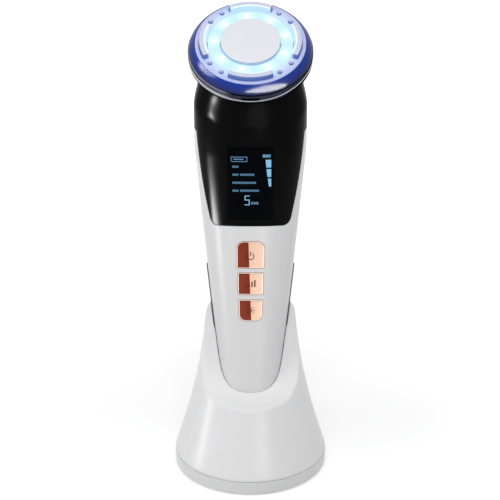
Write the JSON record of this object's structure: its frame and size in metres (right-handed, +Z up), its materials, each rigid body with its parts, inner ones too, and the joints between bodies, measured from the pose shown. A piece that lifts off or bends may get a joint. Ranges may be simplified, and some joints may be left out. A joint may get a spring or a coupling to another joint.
{
  "type": "needle-free mesotherapy device",
  "caption": "Hand-held facial care device with a tilted light and electrode head, a display and press buttons, leaning in a dished charging dock.",
  "frame": {"origin": "middle of the dock's underside, on the surface that it stands on", "axes": "+Z up, -Y to the front where the display and buttons face, +X to the right as the front is seen"},
  "size_m": [0.078, 0.0985, 0.2317],
  "materials": {
    "white_shell": "satin gloss white moulded plastic",
    "dock_white": "satin gloss white moulded plastic",
    "black_gloss": "piano black",
    "display_glass": "dark tinted window",
    "rose_gold": "polished rose gold plating",
    "chrome": "bright chrome plating",
    "blue_clear": "deep blue clear plastic lit from inside",
    "lilac_clear": "pale lilac clear plastic",
    "electrode_metal": "pale plated metal under blue light",
    "light_clear": "clear window lit by the lights",
    "cooling_metal": "fine satin",
    "circuit_board": "green solder mask",
    "dark_plastic": "black moulded plastic",
    "rubber": "matt dark grey",
    "steel": "plain plated steel",
    "gold_contact": "gold plating",
    "heat_sink_metal": "machined",
    "cooler_ceramic": "white alumina",
    "battery_wrap": "heat-shrink sleeve"
  },
  "bodies": {
    "dock": {"dock_shell": "dock_white", "dock_base": "dock_white", "base_pad": "rubber", "ballast_plate": "steel", "dock_screw_1": "steel", "dock_screw_2": "steel", "dock_screw_3": "steel", "charge_board": "circuit_board", "charge_pin_left": "gold_contact", "charge_pin_right": "gold_contact", "power_inlet": "steel", "inlet_board": "circuit_board"},
    "handle": {"front_shell": "white_shell", "rear_shell": "white_shell", "neck_shell": "black_gloss", "display_lens": "display_glass", "metal_ring": "chrome", "side_strip_left": "chrome", "side_strip_right": "chrome", "light_ring": "blue_clear", "face_plate": "lilac_clear", "arc_electrode_right": "electrode_metal", "arc_electrode_top": "electrode_metal", "arc_electrode_left": "electrode_metal", "arc_electrode_bottom": "electrode_metal", "probe_1": "electrode_metal", "probe_2": "electrode_metal", "probe_3": "electrode_metal", "probe_4": "electrode_metal", "probe_5": "electrode_metal", "probe_6": "electrode_metal", "probe_7": "electrode_metal", "probe_8": "electrode_metal", "led_window": "light_clear", "cooling_plate": "cooling_metal", "main_board": "circuit_board", "led_board": "circuit_board", "display_module": "dark_plastic", "mode_switch": "dark_plastic", "level_switch": "dark_plastic", "led_switch": "dark_plastic", "fan_frame": "dark_plastic", "charge_contact_left": "gold_contact", "charge_contact_right": "gold_contact", "heat_sink": "heat_sink_metal", "peltier_cooler": "cooler_ceramic", "battery": "battery_wrap"},
    "mode_button": {"mode_button": "rose_gold"},
    "level_button": {"level_button": "rose_gold"},
    "led_button": {"led_button": "rose_gold"},
    "fan_rotor": {"fan_rotor": "dark_plastic"}
  },
  "joints": [
    {"name": "handle_lift", "type": "slide", "parent": "dock", "child": "handle", "axis": [0, 0.2419, 0.9703], "range_m": [0, 0.09]},
    {"name": "mode_press", "type": "slide", "parent": "handle", "child": "mode_button", "axis": [0, 0.9703, -0.2419], "range_m": [0, 0.0005], "stiffness_N_per_m": 2000},
    {"name": "level_press", "type": "slide", "parent": "handle", "child": "level_button", "axis": [0, 0.9703, -0.2419], "range_m": [0, 0.0005], "stiffness_N_per_m": 2000},
    {"name": "led_press", "type": "slide", "parent": "handle", "child": "led_button", "axis": [0, 0.9703, -0.2419], "range_m": [0, 0.0005], "stiffness_N_per_m": 2000},
    {"name": "fan_spin", "type": "hinge", "parent": "handle", "child": "fan_rotor", "pos_m": [0, 0.02924, 0.17901], "axis": [0, 0.2419, 0.9703], "continuous": true}
  ]
}
